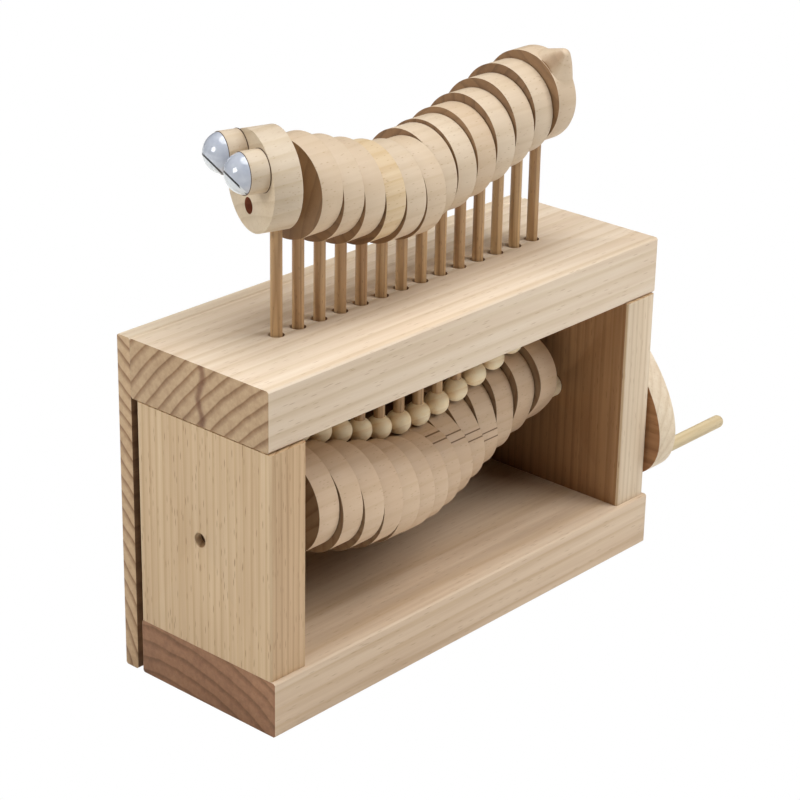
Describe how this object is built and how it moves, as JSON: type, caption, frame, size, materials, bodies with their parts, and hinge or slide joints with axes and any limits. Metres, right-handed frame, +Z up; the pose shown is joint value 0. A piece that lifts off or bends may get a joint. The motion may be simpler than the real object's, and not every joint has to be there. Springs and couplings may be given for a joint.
{
  "type": "hand-cranked inchworm automaton",
  "caption": "Open-fronted wooden case with a crank-driven helix of cams that lift rods, so an inchworm of round wooden slices ripples above its top board.",
  "frame": {"origin": "centre of the base board's underside, on the table", "axes": "+X along the camshaft to the crank, the open front faces -Y, +Z up"},
  "size_m": [0.2495, 0.0752, 0.1932],
  "materials": {
    "board_beech": "sanded bare beech",
    "cam_beech": "sawn and sanded beech",
    "segment_beech": "sanded bare beech",
    "dowel_beech": "turned dowel",
    "rod_wood": "split bamboo dowel",
    "eye_plastic": "moulded, glossy"
  },
  "bodies": {
    "case": {"base_board": "board_beech", "top_board": "board_beech", "head_end_panel": "board_beech", "crank_end_panel": "board_beech", "back_panel": "board_beech", "joint_dowels": "dowel_beech", "back_dowels": "dowel_beech"},
    "camshaft": {"camshaft": "dowel_beech", "cams": "cam_beech", "spacer_head_end": "cam_beech", "spacer_crank_end": "cam_beech", "crank_plate": "board_beech", "crank_handle": "rod_wood"},
    "pin_01": {"cam_pin_01": "dowel_beech"},
    "pin_02": {"cam_pin_02": "dowel_beech"},
    "pin_03": {"cam_pin_03": "dowel_beech"},
    "pin_04": {"cam_pin_04": "dowel_beech"},
    "pin_05": {"cam_pin_05": "dowel_beech"},
    "pin_06": {"cam_pin_06": "dowel_beech"},
    "pin_07": {"cam_pin_07": "dowel_beech"},
    "pin_08": {"cam_pin_08": "dowel_beech"},
    "pin_09": {"cam_pin_09": "dowel_beech"},
    "pin_10": {"cam_pin_10": "dowel_beech"},
    "pin_11": {"cam_pin_11": "dowel_beech"},
    "pin_12": {"cam_pin_12": "dowel_beech"},
    "pin_13": {"cam_pin_13": "dowel_beech"},
    "pin_14": {"cam_pin_14": "dowel_beech"},
    "rider_01": {"push_rod_01": "rod_wood", "head": "segment_beech", "eye_blocks": "segment_beech", "eye_domes": "eye_plastic"},
    "rider_02": {"push_rod_02": "rod_wood", "segment_02": "segment_beech"},
    "rider_03": {"push_rod_03": "rod_wood", "segment_03": "segment_beech"},
    "rider_04": {"push_rod_04": "rod_wood", "segment_04": "segment_beech"},
    "rider_05": {"push_rod_05": "rod_wood", "segment_05": "segment_beech"},
    "rider_06": {"push_rod_06": "rod_wood", "segment_06": "segment_beech"},
    "rider_07": {"push_rod_07": "rod_wood", "segment_07": "segment_beech"},
    "rider_08": {"push_rod_08": "rod_wood", "segment_08": "segment_beech"},
    "rider_09": {"push_rod_09": "rod_wood", "segment_09": "segment_beech"},
    "rider_10": {"push_rod_10": "rod_wood", "segment_10": "segment_beech"},
    "rider_11": {"push_rod_11": "rod_wood", "segment_11": "segment_beech"},
    "rider_12": {"push_rod_12": "rod_wood", "segment_12": "segment_beech"},
    "rider_13": {"push_rod_13": "rod_wood", "segment_13": "segment_beech"},
    "rider_14": {"push_rod_14": "rod_wood", "tail": "segment_beech"}
  },
  "joints": [
    {"name": "crank_turn", "type": "hinge", "parent": "case", "child": "camshaft", "pos_m": [0, 0.0025, 0.06], "axis": [1, 0, 0], "continuous": true},
    {"name": "pin_01_turn", "type": "hinge", "parent": "camshaft", "child": "pin_01", "pos_m": [-0.0688, -0.00114, 0.06305], "axis": [1, 0, 0], "continuous": true},
    {"name": "rider_01_lift", "type": "hinge", "parent": "pin_01", "child": "rider_01", "pos_m": [-0.0638, 0.0025, 0.06611], "axis": [1, 0, 0], "continuous": true},
    {"name": "pin_02_turn", "type": "hinge", "parent": "camshaft", "child": "pin_02", "pos_m": [-0.0588, -0.00196, 0.06162], "axis": [1, 0, 0], "continuous": true},
    {"name": "rider_02_lift", "type": "hinge", "parent": "pin_02", "child": "rider_02", "pos_m": [-0.0538, 0.0025, 0.06325], "axis": [1, 0, 0], "continuous": true},
    {"name": "pin_03_turn", "type": "hinge", "parent": "camshaft", "child": "pin_03", "pos_m": [-0.0488, -0.00225, 0.06], "axis": [1, 0, 0], "continuous": true},
    {"name": "rider_03_lift", "type": "hinge", "parent": "pin_03", "child": "rider_03", "pos_m": [-0.0438, 0.0025, 0.06], "axis": [1, 0, 0], "continuous": true},
    {"name": "pin_04_turn", "type": "hinge", "parent": "camshaft", "child": "pin_04", "pos_m": [-0.0388, -0.00196, 0.05838], "axis": [1, 0, 0], "continuous": true},
    {"name": "rider_04_lift", "type": "hinge", "parent": "pin_04", "child": "rider_04", "pos_m": [-0.0338, 0.0025, 0.05675], "axis": [1, 0, 0], "continuous": true},
    {"name": "pin_05_turn", "type": "hinge", "parent": "camshaft", "child": "pin_05", "pos_m": [-0.0288, -0.00114, 0.05695], "axis": [1, 0, 0], "continuous": true},
    {"name": "rider_05_lift", "type": "hinge", "parent": "pin_05", "child": "rider_05", "pos_m": [-0.0238, 0.0025, 0.05389], "axis": [1, 0, 0], "continuous": true},
    {"name": "pin_06_turn", "type": "hinge", "parent": "camshaft", "child": "pin_06", "pos_m": [-0.0188, 0.00013, 0.05589], "axis": [1, 0, 0], "continuous": true},
    {"name": "rider_06_lift", "type": "hinge", "parent": "pin_06", "child": "rider_06", "pos_m": [-0.0138, 0.0025, 0.05177], "axis": [1, 0, 0], "continuous": true},
    {"name": "pin_07_turn", "type": "hinge", "parent": "camshaft", "child": "pin_07", "pos_m": [-0.0088, 0.00168, 0.05532], "axis": [1, 0, 0], "continuous": true},
    {"name": "rider_07_lift", "type": "hinge", "parent": "pin_07", "child": "rider_07", "pos_m": [-0.0038, 0.0025, 0.05064], "axis": [1, 0, 0], "continuous": true},
    {"name": "pin_08_turn", "type": "hinge", "parent": "camshaft", "child": "pin_08", "pos_m": [0.0012, 0.00332, 0.05532], "axis": [1, 0, 0], "continuous": true},
    {"name": "rider_08_lift", "type": "hinge", "parent": "pin_08", "child": "rider_08", "pos_m": [0.0062, 0.0025, 0.05064], "axis": [1, 0, 0], "continuous": true},
    {"name": "pin_09_turn", "type": "hinge", "parent": "camshaft", "child": "pin_09", "pos_m": [0.0112, 0.00487, 0.05589], "axis": [1, 0, 0], "continuous": true},
    {"name": "rider_09_lift", "type": "hinge", "parent": "pin_09", "child": "rider_09", "pos_m": [0.0162, 0.0025, 0.05177], "axis": [1, 0, 0], "continuous": true},
    {"name": "pin_10_turn", "type": "hinge", "parent": "camshaft", "child": "pin_10", "pos_m": [0.0212, 0.00614, 0.05695], "axis": [1, 0, 0], "continuous": true},
    {"name": "rider_10_lift", "type": "hinge", "parent": "pin_10", "child": "rider_10", "pos_m": [0.0262, 0.0025, 0.05389], "axis": [1, 0, 0], "continuous": true},
    {"name": "pin_11_turn", "type": "hinge", "parent": "camshaft", "child": "pin_11", "pos_m": [0.0312, 0.00696, 0.05838], "axis": [1, 0, 0], "continuous": true},
    {"name": "rider_11_lift", "type": "hinge", "parent": "pin_11", "child": "rider_11", "pos_m": [0.0362, 0.0025, 0.05675], "axis": [1, 0, 0], "continuous": true},
    {"name": "pin_12_turn", "type": "hinge", "parent": "camshaft", "child": "pin_12", "pos_m": [0.0412, 0.00725, 0.06], "axis": [1, 0, 0], "continuous": true},
    {"name": "rider_12_lift", "type": "hinge", "parent": "pin_12", "child": "rider_12", "pos_m": [0.0462, 0.0025, 0.06], "axis": [1, 0, 0], "continuous": true},
    {"name": "pin_13_turn", "type": "hinge", "parent": "camshaft", "child": "pin_13", "pos_m": [0.0512, 0.00696, 0.06162], "axis": [1, 0, 0], "continuous": true},
    {"name": "rider_13_lift", "type": "hinge", "parent": "pin_13", "child": "rider_13", "pos_m": [0.0562, 0.0025, 0.06325], "axis": [1, 0, 0], "continuous": true},
    {"name": "pin_14_turn", "type": "hinge", "parent": "camshaft", "child": "pin_14", "pos_m": [0.0612, 0.00614, 0.06305], "axis": [1, 0, 0], "continuous": true},
    {"name": "rider_14_lift", "type": "hinge", "parent": "pin_14", "child": "rider_14", "pos_m": [0.0662, 0.0025, 0.06611], "axis": [1, 0, 0], "continuous": true}
  ],
  "couplings": [
    {"joint": "pin_01_turn", "follows": "crank_turn", "ratio": -2},
    {"joint": "rider_01_lift", "follows": "crank_turn", "ratio": 1},
    {"joint": "pin_02_turn", "follows": "crank_turn", "ratio": -2},
    {"joint": "rider_02_lift", "follows": "crank_turn", "ratio": 1},
    {"joint": "pin_03_turn", "follows": "crank_turn", "ratio": -2},
    {"joint": "rider_03_lift", "follows": "crank_turn", "ratio": 1},
    {"joint": "pin_04_turn", "follows": "crank_turn", "ratio": -2},
    {"joint": "rider_04_lift", "follows": "crank_turn", "ratio": 1},
    {"joint": "pin_05_turn", "follows": "crank_turn", "ratio": -2},
    {"joint": "rider_05_lift", "follows": "crank_turn", "ratio": 1},
    {"joint": "pin_06_turn", "follows": "crank_turn", "ratio": -2},
    {"joint": "rider_06_lift", "follows": "crank_turn", "ratio": 1},
    {"joint": "pin_07_turn", "follows": "crank_turn", "ratio": -2},
    {"joint": "rider_07_lift", "follows": "crank_turn", "ratio": 1},
    {"joint": "pin_08_turn", "follows": "crank_turn", "ratio": -2},
    {"joint": "rider_08_lift", "follows": "crank_turn", "ratio": 1},
    {"joint": "pin_09_turn", "follows": "crank_turn", "ratio": -2},
    {"joint": "rider_09_lift", "follows": "crank_turn", "ratio": 1},
    {"joint": "pin_10_turn", "follows": "crank_turn", "ratio": -2},
    {"joint": "rider_10_lift", "follows": "crank_turn", "ratio": 1},
    {"joint": "pin_11_turn", "follows": "crank_turn", "ratio": -2},
    {"joint": "rider_11_lift", "follows": "crank_turn", "ratio": 1},
    {"joint": "pin_12_turn", "follows": "crank_turn", "ratio": -2},
    {"joint": "rider_12_lift", "follows": "crank_turn", "ratio": 1},
    {"joint": "pin_13_turn", "follows": "crank_turn", "ratio": -2},
    {"joint": "rider_13_lift", "follows": "crank_turn", "ratio": 1},
    {"joint": "pin_14_turn", "follows": "crank_turn", "ratio": -2},
    {"joint": "rider_14_lift", "follows": "crank_turn", "ratio": 1}
  ]
}
